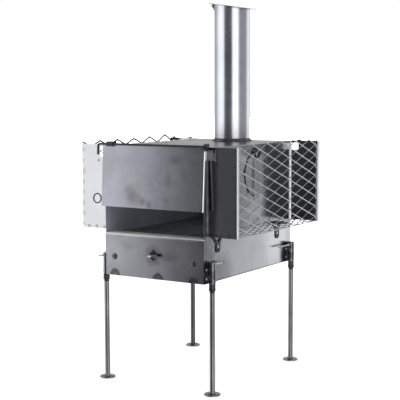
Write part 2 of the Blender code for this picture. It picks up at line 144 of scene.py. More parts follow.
def folded(path, t, r, steps=6):
    """Outline of a bent sheet of thickness t whose middle line follows the path with bends of radius r."""
    pts, nor = [], []
    path = [np.array(p, float) for p in path]
    for i, p in enumerate(path):
        if i in (0, len(path) - 1):
            d = path[1] - path[0] if i == 0 else path[-1] - path[-2]
            d /= np.linalg.norm(d)
            pts.append(p)
            nor.append(np.array((-d[1], d[0])))
            continue
        d0, d1 = p - path[i - 1], path[i + 1] - p
        d0, d1 = d0 / np.linalg.norm(d0), d1 / np.linalg.norm(d1)
        turn = math.atan2(d0[0] * d1[1] - d0[1] * d1[0], d0.dot(d1))
        reach = r * math.tan(abs(turn) / 2)
        n0 = np.array((-d0[1], d0[0]))
        side = 1 if turn > 0 else -1
        centre = p - d0 * reach + n0 * side * r
        for k in range(steps + 1):
            a = turn * k / steps
            c, s = math.cos(a), math.sin(a)
            n = np.array((n0[0] * c - n0[1] * s, n0[0] * s + n0[1] * c))
            pts.append(centre - n * side * r)
            nor.append(n)
    left = [tuple(p + n * t / 2) for p, n in zip(pts, nor)]
    right = [tuple(p - n * t / 2) for p, n in zip(pts, nor)]
    return left + right[::-1]


def strand(path, w, t, twist, normal):
    """A flat strand with eased edges along a polyline, turned by twist (degrees) about its own run."""
    path = [np.array(p, float) for p in path]
    normal = np.array(normal, float)
    a = math.radians(twist)
    shape = [(0.5, -0.25), (0.5, 0.25), (0.32, 0.5), (-0.32, 0.5), (-0.5, 0.25), (-0.5, -0.25), (-0.32, -0.5), (0.32, -0.5)]
    loops = []
    for i, p in enumerate(path):
        d = path[min(i + 1, len(path) - 1)] - path[max(i - 1, 0)]
        d /= np.linalg.norm(d)
        side = np.cross(normal, d)
        u = side * math.cos(a) + normal * math.sin(a)
        v = normal * math.cos(a) - side * math.sin(a)
        loops.append([tuple(p + u * w * x + v * t * y) for x, y in shape])
    return rings(loops)


def bead(path, r, pitch=3.2, n=8, seed=1):
    """A weld bead: a rippled, slightly uneven rope along a path."""
    rng = np.random.default_rng(abs(seed))
    path = [np.array(p, float) for p in path]
    seg = [np.linalg.norm(b - a) for a, b in zip(path, path[1:])]
    total = sum(seg)
    steps = max(4, int(total / pitch * 4))
    pts, radii = [], []
    for i in range(steps + 1):
        s = total * i / steps
        k, acc = 0, 0.0
        while k < len(seg) - 1 and acc + seg[k] < s:
            acc += seg[k]
            k += 1
        f = (s - acc) / seg[k]
        pts.append(path[k] * (1 - f) + path[k + 1] * f)
        ripple = 0.84 + 0.16 * abs(math.sin(math.pi * s / pitch))
        end = min(1.0, 0.45 + 3.0 * min(i, steps - i) / steps)
        radii.append(r * ripple * end * rng.uniform(0.94, 1.06))
    return sweep(pts, radii, n)


def blob(c, rx, ry, rz, n=12):
    loops = []
    for i in range(1, 8):
        a = math.pi * i / 8
        loops.append([(c[0] + rx * math.sin(a) * math.cos(t), c[1] + ry * math.sin(a) * math.sin(t), c[2] - rz * math.cos(a))
                      for t in (2 * math.pi * k / n for k in range(n))])
    return rings(loops)


def merged(shapes):
    v, f = [], []
    for sv, sf in shapes:
        k = len(v)
        v += list(sv)
        f += [tuple(i + k for i in face) for face in sf]
    return v, f


def mirror_x(shape, side):
    v, f = shape
    return ([(side * x, y, z) for x, y, z in v], f) if side < 0 else shape


def raw(name, shape):
    verts, faces = shape
    mesh = bpy.data.meshes.new(name)
    mesh.from_pydata([tuple(p) for p in put(verts)], [], [tuple(f) for f in faces])
    work = bmesh.new()
    work.from_mesh(mesh)
    bmesh.ops.recalc_face_normals(work, faces=work.faces)
    work.to_mesh(mesh)
    work.free()
    obj = bpy.data.objects.new(name, mesh)
    bpy.context.scene.collection.objects.link(obj)
    return obj


def piece(name, body, mat, base, nodes=(), add=(), cut=(), bevel=0.0, segs=2, sharp=38, extra=None):
    """A finished visual piece: the base is bevelled, joined and cut, then rides on its CAD body."""
    obj = raw(name, base)
    helpers = []
    if bevel:
        mod = obj.modifiers.new("edge", "BEVEL")
        mod.width = bevel * 0.001
        mod.segments = segs
        mod.limit_method = "ANGLE"
        mod.angle_limit = math.radians(32)
    for kind, shapes in (("UNION", add), ("DIFFERENCE", cut)):
        for shape in shapes:
            helper = raw("helper", shape)
            helpers.append(helper)
            mod = obj.modifiers.new(kind, "BOOLEAN")
            mod.operation = kind
            mod.solver = "EXACT"
            mod.object = helper
    if obj.modifiers:
        graph = bpy.context.evaluated_depsgraph_get()
        mesh = bpy.data.meshes.new_from_object(obj.evaluated_get(graph))
        obj.modifiers.clear()
        old = obj.data
        obj.data = mesh
        bpy.data.meshes.remove(old)
        mesh.name = name
    for helper in helpers:
        bpy.data.objects.remove(helper)
    obj.data.materials.clear()
    obj.data.materials.append(mat)
    extra = [extra] if isinstance(extra, tuple) else (extra or [])
    for other, _ in extra:
        obj.data.materials.append(other)
    for poly in obj.data.polygons:
        poly.material_index = 0
        for k, (_, test) in enumerate(extra):
            if test(poly.center * 1000, poly.normal):
                poly.material_index = k + 1
    obj.data.shade_smooth()
    obj.data.set_sharp_from_angle(angle=math.radians(sharp))
    even = obj.modifiers.new("even", "WEIGHTED_NORMAL")
    even.keep_sharp = True
    even.weight = 60
    graph = bpy.context.evaluated_depsgraph_get()
    mesh = bpy.data.meshes.new_from_object(obj.evaluated_get(graph))
    obj.modifiers.clear()
    old = obj.data
    obj.data = mesh
    bpy.data.meshes.remove(old)
    mesh.name = name
    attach(obj, body)
    if nodes:
        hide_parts(*nodes)
    return obj


# ------------------------------------------------------------------ materials
class Net:
    def __init__(self, name):
        self.mat = bpy.data.materials.new(name)
        self.mat.use_nodes = True
        self.t = self.mat.node_tree
        self.bsdf = self.t.nodes["Principled BSDF"]
        self.coord = self.t.nodes.new("ShaderNodeTexCoord").outputs["Object"]

    def link(self, a, b):
        self.t.links.new(a, b)

    def noise(self, scale, stretch=(1, 1, 1), detail=4.0, rough=0.55, shift=(0, 0, 0)):
        m = self.t.nodes.new("ShaderNodeMapping")
        m.inputs["Scale"].default_value = stretch
        m.inputs["Location"].default_value = shift
        self.link(self.coord, m.inputs["Vector"])
        n = self.t.nodes.new("ShaderNodeTexNoise")
        n.inputs["Scale"].default_value = scale
        n.inputs["Detail"].default_value = detail
        n.inputs["Roughness"].default_value = rough
        self.link(m.outputs["Vector"], n.inputs["Vector"])
        return n.outputs["Fac"]

    def rng(self, fac, lo, hi, a, b, smooth=False):
        m = self.t.nodes.new("ShaderNodeMapRange")
        if smooth:
            m.interpolation_type = "SMOOTHSTEP"
        self.link(fac, m.inputs["Value"])
        for key, v in (("From Min", lo), ("From Max", hi), ("To Min", a), ("To Max", b)):
            m.inputs[key].default_value = v
        return m.outputs["Result"]

    def mix(self, fac, a, b, mode="MIX"):
        m = self.t.nodes.new("ShaderNodeMix")
        m.data_type = "RGBA"
        m.blend_type = mode
        for sock, v in ((m.inputs[0], fac), (m.inputs[6], a), (m.inputs[7], b)):
            if isinstance(v, (int, float)):
                sock.default_value = v
            elif isinstance(v, (tuple, list)):
                sock.default_value = (*v, 1.0)
            else:
                self.link(v, sock)
        return m.outputs[2]

    def math(self, op, a, b=0.0):
        m = self.t.nodes.new("ShaderNodeMath")
        m.operation = op
        for sock, v in ((m.inputs[0], a), (m.inputs[1], b)):
            if isinstance(v, (int, float)):
                sock.default_value = v
            else:
                self.link(v, sock)
        return m.outputs[0]

    def spot(self, centre_mm, inner, outer, squash=(1, 1, 1), wobble=None):
        """1 inside a soft round patch about a point, 0 outside; radii in mm."""
        c = put([centre_mm])[0]
        sub = self.t.nodes.new("ShaderNodeVectorMath")
        sub.operation = "SUBTRACT"
        self.link(self.coord, sub.inputs[0])
        sub.inputs[1].default_value = tuple(c)
        mul = self.t.nodes.new("ShaderNodeVectorMath")
        mul.operation = "MULTIPLY"
        self.link(sub.outputs[0], mul.inputs[0])
        mul.inputs[1].default_value = squash
        ln = self.t.nodes.new("ShaderNodeVectorMath")
        ln.operation = "LENGTH"
        self.link(mul.outputs[0], ln.inputs[0])
        d = ln.outputs["Value"]
        if wobble is not None:
            d = self.math("ADD", d, self.math("MULTIPLY", self.math("SUBTRACT", wobble, 0.5), outer * 0.0009))
        return self.rng(d, inner * 0.001, outer * 0.001, 1.0, 0.0, smooth=True)

    def bump(self, height, strength, dist=0.0004):
        b = self.t.nodes.new("ShaderNodeBump")
        b.inputs["Strength"].default_value = strength
        b.inputs["Distance"].default_value = dist
        self.link(height, b.inputs["Height"])
        self.link(b.outputs["Normal"], self.bsdf.inputs["Normal"])

    def metal(self, value=1.0):
        self.bsdf.inputs["Metallic"].default_value = value
        return self


def steel(name, base, rough=0.3, grain=(1, 1, 14), blotch=0.5, tint=0.35, spots=(), seed=0.0, edge=1.0):
    """Cold-rolled sheet: rolling grain, cloudy oxide, faint straw and violet patches, fine scratches; the listed spots
    add marks, and some of them are painted shade and painted highlights.
    """
    n = Net(name).metal()
    shift = (seed, seed * 1.7, seed * 0.6)
    cloud = n.noise(7.0, detail=5.0, shift=shift)
    fine = n.noise(46.0, detail=6.0, rough=0.65, shift=shift)
    lines = n.noise(38.0, stretch=grain, detail=3.0, shift=shift)
    scratch = n.noise(150.0, stretch=(grain[0] * 0.35, grain[1] * 0.35, grain[2] * 0.8), detail=2.0, shift=shift)
    dark = tuple(c * (1 - 0.42 * blotch) for c in base)
    light = tuple(min(1.0, c * (1 + 0.16 * blotch)) for c in base)
    warm = (base[0] * 0.92, base[1] * 0.72, base[2] * 0.66)
    cool = (base[0] * 0.74, base[1] * 0.84, base[2] * 1.06)
    col = n.mix(n.rng(cloud, 0.36, 0.66, 0, 1, True), dark, light)
    patch = n.rng(n.noise(5.2, detail=3.0, shift=(seed + 3, 1, 5)), 0.54, 0.68, 0.0, tint, True)
    col = n.mix(patch, col, warm)
    patch2 = n.rng(n.noise(8.5, detail=4.0, shift=(seed + 9, 4, 2)), 0.56, 0.72, 0.0, tint * 0.9, True)
    col = n.mix(patch2, col, cool)
    col = n.mix(n.rng(fine, 0.46, 0.70, 0.0, 0.10 * blotch), col, tuple(c * 0.72 for c in base))
    col = n.mix(n.rng(lines, 0.44, 0.70, 0.0, 0.07), col, tuple(c * 0.7 for c in base))
    for (centre, inner, outer, colour, amount, squash) in spots:
        m = n.math("MULTIPLY", n.spot(centre, inner, outer, squash, wobble=fine), amount)
        col = n.mix(m, col, colour)
    n.link(col, n.bsdf.inputs["Base Color"])
    r = n.math("ADD", n.rng(cloud, 0.3, 0.7, rough + 0.04, rough - 0.03), n.rng(lines, 0.3, 0.7, -0.012, 0.018))
    n.link(r, n.bsdf.inputs["Roughness"])
    wave = n.noise(4.5, detail=1.0, shift=shift)
    n.bump(n.math("ADD", n.math("MULTIPLY", scratch, 0.06), n.math("MULTIPLY", wave, 3.0)), 0.05, 0.0005)
    n.bsdf.inputs["Specular Tint"].default_value = (edge, edge, edge, 1)
    return n.mat


def black_iron(name, base=(0.035, 0.035, 0.04), rough=0.42, metal=0.7):
    n = Net(name).metal(metal)
    a = n.noise(60.0, detail=5.0)
    b = n.noise(420.0, detail=3.0)
    col = n.mix(n.rng(a, 0.38, 0.64, 0, 1, True), base, tuple(min(1, c * 2.6 + 0.01) for c in base))
    col = n.mix(n.rng(b, 0.62, 0.75, 0.0, 0.4), col, (0.16, 0.13, 0.12))
    n.link(col, n.bsdf.inputs["Base Color"])
    n.link(n.rng(a, 0.3, 0.7, rough - 0.08, rough + 0.12), n.bsdf.inputs["Roughness"])
    n.bump(n.math("ADD", b, a), 0.22, 0.0003)
    return n.mat


def soot(name):
    n = Net(name).metal(0.1)
    a = n.noise(9.0, detail=6.0)
    b = n.noise(70.0, detail=5.0)
    col = n.mix(n.rng(a, 0.35, 0.68, 0, 1, True), (0.24, 0.255, 0.29), (0.30, 0.315, 0.35))
    col = n.mix(n.rng(b, 0.60, 0.72, 0.0, 0.25), col, (0.20, 0.20, 0.215))
    n.link(col, n.bsdf.inputs["Base Color"])
    n.link(n.rng(b, 0.3, 0.7, 0.42, 0.62), n.bsdf.inputs["Roughness"])
    n.bump(b, 0.2, 0.0004)
    return n.mat


def matte_sheet(name, base, rough, metal):
    """Rubbed sheet with a soft, even sheen; also the flat light colour of painted highlights."""
    n = Net(name).metal(metal)
    a = n.noise(14.0, detail=4.0)
    n.link(n.mix(n.rng(a, 0.36, 0.66, 0, 1, True), tuple(c * 0.82 for c in base), base), n.bsdf.inputs["Base Color"])
    n.link(n.rng(a, 0.3, 0.7, rough - 0.05, rough + 0.05), n.bsdf.inputs["Roughness"])
    n.bump(a, 0.03, 0.0004)
    return n.mat


def polished(name, base=(0.66, 0.66, 0.69), rough=0.13):
    n = Net(name).metal()
    lines = n.noise(30.0, stretch=(3.0, 3.0, 0.25), detail=4.0)
    cloud = n.noise(9.0, detail=5.0, shift=(2, 0, 1))
    col = n.mix(n.rng(cloud, 0.35, 0.68, 0, 1, True), tuple(c * 0.9 for c in base), base)
    col = n.mix(n.rng(lines, 0.45, 0.7, 0.0, 0.14), col, tuple(c * 0.7 for c in base))
    col = n.mix(n.math("MULTIPLY", n.spot((0, PIPE_Y, 758), 8, 80, (0.1, 0.1, 1)), 0.35), col, (0.36, 0.30, 0.28))
    n.link(col, n.bsdf.inputs["Base Color"])
    n.link(n.math("ADD", n.rng(cloud, 0.3, 0.7, rough, rough + 0.07), n.rng(lines, 0.3, 0.7, -0.02, 0.03)), n.bsdf.inputs["Roughness"])
    n.bump(n.math("ADD", n.math("MULTIPLY", cloud, 1.0), n.math("MULTIPLY", lines, 0.2)), 0.015, 0.0004)
    return n.mat


WELD_TINT = (0.10, 0.075, 0.085)
door_blotches_and_highlight = [((-76, -288, 603), 8, 40, (0.125, 0.10, 0.10), 0.45, (1, 0.2, 1)), ((-60, -288, 585), 3, 34, (0.13, 0.12, 0.125), 0.45, (0.8, 0.2, 1)),
              ((-30, -288, 582), 2, 20, (0.09, 0.09, 0.10), 0.5, (1, 0.2, 1)), ((-6, -288, 574), 2, 18, (0.10, 0.09, 0.10), 0.5, (1, 0.2, 1)),
              ((60, -288, 592), 2, 26, (0.13, 0.09, 0.09), 0.4, (1, 0.2, 1.4)), ((58, -288, 672), 4, 34, (0.13, 0.135, 0.14), 0.32, (1.3, 0.2, 0.7)),
              ((86, -288, 640), 2, 22, (0.13, 0.135, 0.14), 0.34, (0.8, 0.2, 1.2)), ((120, -288, 668), 2, 20, (0.13, 0.135, 0.14), 0.34, (1.2, 0.2, 0.7)),
              ((150, -288, 706), 2, 24, (0.13, 0.135, 0.14), 0.3, (0.8, 0.2, 1.3)), ((134, -288, 610), 2, 20, (0.12, 0.115, 0.12), 0.3, (0.8, 0.2, 1.2)),
              ((96, -288, 595), 2, 18, (0.11, 0.105, 0.11), 0.3, (0.8, 0.2, 1.2)),
              # painted highlight: a broad light patch right of the door's centre
              ((128, -288, 650), 50, 120, (0.50, 0.515, 0.56), 0.42, (1, 0.2, 0.7)),
              ((62, -288, 648), 3, 26, (0.11, 0.11, 0.12), 0.3, (1.3, 0.2, 0.7)), ((84, -288, 712), 3, 28, (0.10, 0.10, 0.105), 0.34, (0.7, 0.2, 1.2)),
              ((-128, -288, 655), 3, 40, (0.34, 0.35, 0.39), 0.4, (1, 0.2, 0.6)), ((-10, -288, 700), 10, 70, (0.32, 0.34, 0.40), 0.4, (0.8, 0.2, 0.8))]
front_marks_and_highlight = []
for x, z in ((-147, 343), (17, 343), (146, 343)):
    front_marks_and_highlight += [((x, -277.8, z), 15, 22, (0.035, 0.032, 0.035), 0.8, (1, 0.2, 1)), ((x, -277.8, z - 2), 7, 13, (0.13, 0.125, 0.135), 0.6, (1, 0.2, 1))]
for x in (-148, 148):
    front_marks_and_highlight.append(((x, -277.8, 401), 9, 14, (0.05, 0.048, 0.052), 0.6, (1, 0.2, 1)))
front_marks_and_highlight += [((-100, -277.8, 440), 3, 26, (0.12, 0.11, 0.115), 0.28, (0.6, 0.2, 1.2)), ((0, -277.8, 415), 16, 40, (0.085, 0.08, 0.09), 0.55, (1, 0.2, 1)),
                ((60, -277.8, 415), 8, 36, (0.10, 0.095, 0.105), 0.4, (0.6, 0.2, 1.6)), ((160, -277.8, 372), 8, 50, (0.13, 0.11, 0.11), 0.25, (1, 0.2, 1)),
                ((140, -277.8, 415), 30, 90, (0.40, 0.395, 0.42), 0.45, (1, 0.2, 1)), ((-160, -277.8, 420), 20, 60, (0.33, 0.33, 0.355), 0.3, (1, 0.2, 1)),
                # painted highlight: a thin light strip along the top of the lower front, under the ledge
                ((0, -277.8, 473.5), 2.0, 6.5, (0.46, 0.46, 0.475), 0.7, (0.008, 0.2, 1))]
side_marks_and_painted_shade = []
for y, z, r, k in ((-201, 455, 34, 0.3), (178, 450, 30, 0.4), (-245, 400, 60, 0.25), (222, 372, 34, 0.4), (240, 738, 40, 0.4)):
    for sx in (-1, 1):
        side_marks_and_painted_shade.append(((sx * 185, y, z), 12, r, (0.12, 0.115, 0.13), k, (0.2, 1, 1)))
for sx in (-1, 1):
    # painted shade: a dark vertical band at the front edge of each side, beside the door
    side_marks_and_painted_shade.append(((sx * 185, -282, 650), 24, 40, (0.035, 0.035, 0.04), 0.92, (0.2, 1, 0.16)))
    # painted shade round the front lug
    side_marks_and_painted_shade.append(((sx * 185, -240, 736), 26, 48, (0.05, 0.048, 0.055), 0.85, (0.2, 1, 1)))
for sx in (-1, 1):
    side_marks_and_painted_shade.append(((sx * 185, -90, 612), 70, 190, (0.20, 0.20, 0.215), 0.5, (0.2, 1, 1.1)))
# painted shade above the port's finger ring
side_marks_and_painted_shade.append(((185, 30, 738), 16, 42, (0.06, 0.06, 0.066), 0.75, (0.2, 0.32, 1)))
side_marks_and_painted_shade.append(((185, 32, 654), 70, 74, (0.03, 0.03, 0.034), 0.85, (0.2, 1, 1)))
# painted shade: darker towards the front corner of the lower right side
side_marks_and_painted_shade.append(((185, -282, 420), 10, 120, (0.15, 0.15, 0.165), 0.75, (0.2, 1, 0.3)))
side_marks_and_painted_shade.append(((185, -170, 368), 20, 80, (0.17, 0.17, 0.185), 0.5, (0.2, 1, 1)))
# painted shade: a narrow dark band on the right side behind the basket's front plate
side_marks_and_painted_shade.append(((185, -236, 640), 10, 26, (0.035, 0.035, 0.04), 0.9, (0.2, 1, 0.12)))
side_marks_and_painted_shade.append(((185, 170, 410), 30, 100, (0.55, 0.56, 0.59), 0.65, (0.2, 1, 1)))
# painted shade: a thin dark line along the bottom edge of the right side
side_marks_and_painted_shade.append(((185, 10, 341), 1.5, 5.5, (0.06, 0.06, 0.065), 0.7, (0.2, 0.008, 1)))
basket_spots = []
for sx in (-1, 1):
    for i in range(8):
        basket_spots.append(((sx * (283.0 - 2 * (i % 2)), -260, 495 + 34.0 * i), 2.0, 7.0 + 2 * (i % 3), (0.22, 0.215, 0.225), 0.42, (1, 1, 0.8)))
    for x in (200, 232, 262):
        basket_spots.append(((sx * x, -260, 489), 3, 8, (0.15, 0.14, 0.15), 0.6, (1, 1, 1)))
    basket_spots.append(((sx * 220.5, -260, 701), 2.2, 4.6, (0.06, 0.06, 0.065), 0.8, (1, 1, 1)))
    basket_spots.append(((sx * 220.5, -260, 724), 2.2, 4.6, (0.06, 0.06, 0.065), 0.6, (1, 1, 1)))
wall_shade = [((203, -260, 615), 6, 26, (0.035, 0.034, 0.04), 0.75, (1, 1, 0.1))]

M = {
    "body": steel("body_sheet", (0.40, 0.412, 0.445), 0.19, (1, 1, 9), 0.22, 0.18, spots=side_marks_and_painted_shade, seed=1.3),
    "plain": steel("plain_sheet", (0.34, 0.35, 0.375), 0.28, (1, 1, 9), 0.3, 0.2, seed=5.1),
    "port": steel("port_sheet", (0.27, 0.28, 0.305), 0.20, (1, 1, 9), 0.3, 0.2, seed=5.9,
                  spots=[((188, 12, 650), 5, 15, (0.06, 0.06, 0.068), 0.8, (0.2, 1, 0.2)), ((188, 96, 650), 8, 30, (0.08, 0.08, 0.088), 0.8, (0.2, 1, 0.25)),
                         ((188, 50, 640), 8, 30, (0.19, 0.19, 0.205), 0.6, (0.2, 1, 0.35))]),
    # painted shade: the front lugs are a dark copy of the sheet, darker again round the hole and along the top
    "lug": steel("lug_sheet_painted_shade", (0.11, 0.11, 0.118), 0.26, (1, 1, 9), 0.5, 0.2, seed=5.5,
                 spots=[((188.3, -226, 737), 4.2, 6.2, (0.012, 0.012, 0.014), 0.95, (0.2, 1, 1)), ((188.3, -250, 746), 3, 9, (0.03, 0.03, 0.035), 0.8, (0.2, 0.3, 1)),
                        ((188.3, -250, 726), 6, 18, (0.20, 0.20, 0.21), 0.6, (0.2, 0.7, 1))]),
    "top": steel("top_sheet", (0.325, 0.325, 0.33), 0.20, (1, 10, 1), 0.14, 0.08, seed=2.2, edge=0.6,
                 # painted shade: the first spot is a dark band along the cooking plate's front edge
                 spots=[((0, -275.4, 750), 7, 18, (0.05, 0.05, 0.055), 0.7, (0.01, 1, 0.2)), ((0, PIPE_Y, 750), 62, 110, (0.15, 0.145, 0.16), 0.6, (1, 1, 0.2))]),
    "door": steel("door_sheet", (0.292, 0.303, 0.338), 0.23, (1, 1, 8), 0.26, 0.18, spots=door_blotches_and_highlight, seed=3.7),
    # painted highlight: a near-white copy of the sheet for side flanges that face the light
    "edge_highlight": steel("edge_painted_highlight", (0.72, 0.73, 0.75), 0.22, (1, 1, 6), 0.15, 0.05, seed=3.9),
    "front": steel("front_sheet", (0.248, 0.249, 0.275), 0.24, (10, 1, 1), 0.28, 0.2, spots=front_marks_and_highlight, seed=4.4),
    # painted highlight: a light, rough copy of the sheet for the ledge top and the plugs behind socket and hook holes
    "ledge": matte_sheet("ledge_painted_highlight", (0.64, 0.64, 0.635), 0.55, 0.2),
    # painted light: the left basket sheet is a lighter copy of the right one
    "basket_l": steel("basket_sheet_left_painted_light", (0.50, 0.505, 0.525), 0.22, (1, 1, 8), 0.14, 0.06, seed=6.6, spots=basket_spots),
    "basket_r": steel("basket_sheet_right", (0.355, 0.357, 0.385), 0.20, (1, 1, 8), 0.18, 0.08, seed=6.1, spots=basket_spots + wall_shade),
    # painted shade: a dark copy of the sheet for the right basket's inner faces
    "basket_in": steel("basket_inner_painted_shade", (0.085, 0.085, 0.095), 0.26, (1, 1, 8), 0.5, 0.1, seed=6.3),
    "bars": steel("expanded_metal", (0.49, 0.49, 0.51), 0.26, (1, 1, 4), 0.4, 0.1, seed=7.2),
    # painted shade: the rising strands behind are a darker copy of the front strands' metal
    "bars_dim": steel("expanded_metal_back_shaded", (0.25, 0.25, 0.26), 0.32, (1, 1, 4), 0.5, 0.1, seed=7.6),
    # nearly black metal for the left basket's top row and crest
    "bars_dark": black_iron("expanded_metal_dark_top", (0.03, 0.03, 0.034), 0.4, 0.6),
    "pipe": polished("flue_pipe", (0.602, 0.624, 0.688), 0.165),
    "cap": polished("cap_disc", (0.50, 0.50, 0.51), 0.22),
    "leg": steel("leg_bar", (0.22, 0.22, 0.225), 0.28, (1, 1, 0.3), 0.7, 0.15, seed=8.8),
    "black": black_iron("black_oxide", (0.022, 0.022, 0.025), 0.36, 0.8),
    "deep": black_iron("rod_oxide", (0.010, 0.010, 0.012), 0.42, 0.5),
    "tube": black_iron("tube_oxide", (0.085, 0.085, 0.09), 0.24, 1.0),
    "weld": black_iron("weld_metal", (0.06, 0.055, 0.062), 0.36, 0.9),
    "soot": soot("sooted_steel"),
    "grate": matte_sheet("cast_grate", (0.20, 0.205, 0.225), 0.6, 0.1),
    "zinc": steel("bright_zinc", (0.34, 0.34, 0.345), 0.25, (1, 1, 1), 0.5, 0.05, seed=9.9),
    # painted shade: the wing nut is a darker copy of the zinc
    "nut": steel("wing_nut_painted_shade", (0.17, 0.17, 0.175), 0.26, (1, 1, 1), 0.6, 0.05, seed=9.1),
    "leg_rl": steel("leg_bar_shaded", (0.13, 0.13, 0.133), 0.3, (1, 1, 0.3), 0.7, 0.15, seed=8.1),
    # painted light: the rear-right clamp screw is a lighter copy of the zinc
    "screw_rr": matte_sheet("zinc_painted_light", (0.50, 0.50, 0.51), 0.5, 0.3),
    "leg_fl": steel("leg_bar_lit", (0.27, 0.27, 0.275), 0.28, (1, 1, 0.3), 0.7, 0.15, seed=8.4),
    "rivet": steel("rivet_steel", (0.10, 0.10, 0.107), 0.34, (1, 1, 1), 0.6, 0.1, seed=11.0),
}

# ------------------------------------------------------------------ firebox body
for side, word in ((-1, "left"), (1, "right")):
    piece(f"panel_{word}", "stove_body", M["body"],
          mirror_x(box(HALF_W - SHEET, HALF_W, Y_FRONT, Y_BACK, Z_BOTTOM, Z_TOP - 4.2), side),
          nodes=[f"side_panel_{word}"], bevel=0.9, segs=3,
          extra=(M["soot"], lambda c, n, s=side: n.x * s < -0.5))
piece("panel_rear", "stove_body", M["plain"],
      box(-HALF_W + 3.3, HALF_W - 3.3, Y_BACK - SHEET, Y_BACK, Z_BOTTOM, Z_TOP - 4.2), nodes=["rear_panel"], bevel=0.8, segs=2,
      extra=(M["soot"], lambda c, n: n.y < -0.5))
piece("panel_bottom", "stove_body", M["plain"],
      box(-HALF_W + 3.3, HALF_W - 3.3, Y_FRONT, Y_BACK - SHEET - GAP, Z_BOTTOM, Z_BOTTOM + SHEET), nodes=["bottom_plate"], bevel=0.6,
      extra=(M["soot"], lambda c, n: n.z > 0.5))
piece("cooking_plate", "stove_body", M["top"],
      box(-HALF_W - 1, HALF_W + 1, -275.4, 277.8, Z_TOP - 4, Z_TOP), nodes=["top_plate"],
      cut=[rod((0, PIPE_Y, 0), "z", Z_TOP - 10, Z_TOP + 10, 55.0, 96)], bevel=1.1, segs=3,
      extra=(M["soot"], lambda c, n: n.z < -0.5 and abs(c.x) < 181))
piece("plate_lip", "stove_body", M["black"], box(-183.5, 183.5, -275.2, -264.5, 750.02, 751.0), bevel=0.3)
piece("collar", "stove_body", M["black"],
      turned((0, PIPE_Y, 0), "z",
             [(Z_TOP + 0.3, 66.5), (Z_TOP + 1.5, 66.2), (Z_TOP + 4.5, 64.0), (Z_TOP + 7.2, 62.6), (Z_TOP + 8, 61.8), (Z_TOP + 8, 58.1),
              (Z_TOP + 39, 58.1), (Z_TOP + 40, 57.5), (Z_TOP + 40, 55.0), (Z_TOP + 0.3, 55.0)], 96, closed=True), nodes=["flue_collar"])
piece("collar_weld", "stove_body", M["weld"],
      merged([bead([(66.5 * math.cos(t), PIPE_Y + 66.5 * math.sin(t), Z_TOP + 1.2)
                    for t in np.linspace(a, a + 1.5, 24)], 2.0, seed=int(a * 10)) for a in (0.1, 1.7, 3.3, 4.9)]))
for side, word in ((-1, "left"), (1, "right")):
    piece(f"rail_{word}", "stove_body", M["soot"],
          mirror_x(prism(folded([(180.2, 448), (180.2, 462.2), (160, 462.2)], 3.0, 3.0), "y", -224, 270), side),
          nodes=[f"grate_rail_{word}"], bevel=0.4)
piece("grate", "stove_body", M["grate"],
      box(-180, 180, -225, 270, 464, 470), nodes=["fire_grate"], bevel=1.0,
      cut=[prism([(x - 10, -184), (x - 6, -190), (x + 6, -190), (x + 10, -184), (x + 10, 234), (x + 6, 240), (x - 6, 240), (x - 10, 234)],
                 "z", 455, 480) for x in range(-125, 126, 50)])
piece("port_plate", "stove_body", M["port"],
      turned((0, 32, 654), "x", [(185.3, 68), (187.4, 68), (188.0, 67.6), (188.3, 66.9)], 96), nodes=["port_cover"])
piece("port_finger_ring", "stove_body", M["deep"], torus((190.3, 37, 721), "x", 14.6, 2.3), nodes=["port_ring"])
# a dark ring drawn round the port cover's edge
piece("port_dark_outline", "stove_body", M["deep"], torus((185.6, 32, 654), "x", 67.6, 1.7))

